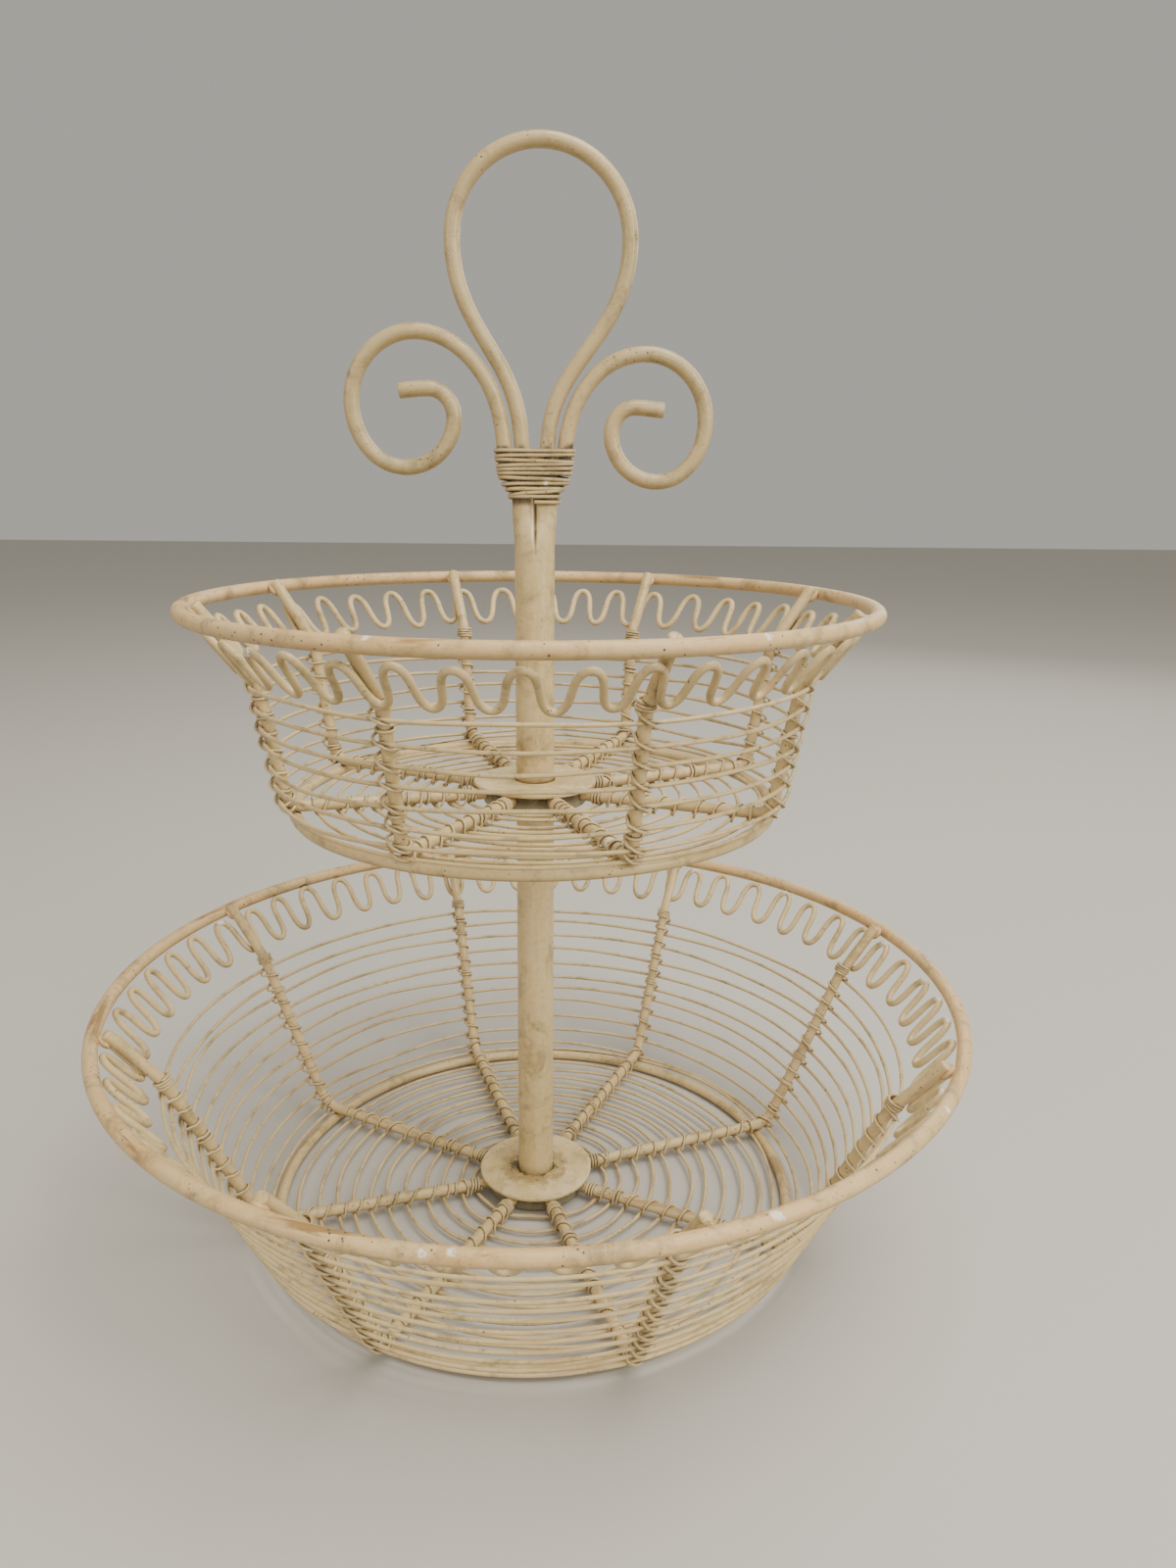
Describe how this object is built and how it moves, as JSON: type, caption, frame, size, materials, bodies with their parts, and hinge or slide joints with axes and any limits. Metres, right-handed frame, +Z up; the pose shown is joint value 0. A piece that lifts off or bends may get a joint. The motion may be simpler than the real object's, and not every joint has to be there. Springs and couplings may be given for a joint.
{
  "type": "two-tier etagere",
  "caption": "Tiered wire basket stand: a wide round basket and a smaller one above it on a tube post, topped by a looped carrying handle with side scrolls.",
  "frame": {"origin": "on the post's axis, on the surface that the lower base ring rests on", "axes": "+Z up along the post; the handle's loop and scrolls lie in the XZ plane"},
  "size_m": [0.3656, 0.3656, 0.4385],
  "materials": {
    "cream_rod": "satin cream paint over welded rod, brown grime at the welds, small chips",
    "cream_wire": "satin cream paint on thin wire, darker where it crosses the ribs",
    "cream_post": "satin cream paint on tube and handle rod, olive grime in the creases",
    "worn_hub": "satin cream paint rubbed ochre and brown round the post",
    "zinc_hardware": "dull zinc-plated steel"
  },
  "bodies": {
    "lower_basket": {"lower_rim_ring": "cream_rod", "lower_base_ring": "cream_rod", "lower_rib_1": "cream_rod", "lower_rib_2": "cream_rod", "lower_rib_3": "cream_rod", "lower_rib_4": "cream_rod", "lower_rib_5": "cream_rod", "lower_rib_6": "cream_rod", "lower_rib_7": "cream_rod", "lower_rib_8": "cream_rod", "lower_wave_wire": "cream_wire", "lower_wall_wire": "cream_wire", "lower_floor_wire": "cream_wire", "lower_hub_disc": "worn_hub", "lower_hub_collar": "worn_hub", "lower_hub_seat": "worn_hub"},
    "column": {"lower_tube": "cream_post", "upper_tube": "cream_post", "tube_insert": "zinc_hardware", "clamp_rod": "zinc_hardware", "clamp_washer": "zinc_hardware", "clamp_nut": "zinc_hardware", "handle_loop": "cream_post", "scroll_left": "cream_post", "scroll_right": "cream_post", "binding_wire": "cream_wire"},
    "upper_basket": {"upper_rim_ring": "cream_rod", "upper_base_ring": "cream_rod", "upper_rib_1": "cream_rod", "upper_rib_2": "cream_rod", "upper_rib_3": "cream_rod", "upper_rib_4": "cream_rod", "upper_rib_5": "cream_rod", "upper_rib_6": "cream_rod", "upper_rib_7": "cream_rod", "upper_rib_8": "cream_rod", "upper_wave_wire": "cream_wire", "upper_wall_wire": "cream_wire", "upper_floor_wire": "cream_wire", "upper_hub_disc": "worn_hub", "upper_hub_collar": "worn_hub", "upper_hub_seat": "worn_hub"}
  },
  "joints": [
    {"name": "column_turn", "type": "hinge", "parent": "lower_basket", "child": "column", "pos_m": [0, 0, 0.009], "axis": [0, 0, 1], "continuous": true},
    {"name": "upper_basket_turn", "type": "hinge", "parent": "column", "child": "upper_basket", "pos_m": [0, 0, 0.1944], "axis": [0, 0, 1], "continuous": true}
  ]
}
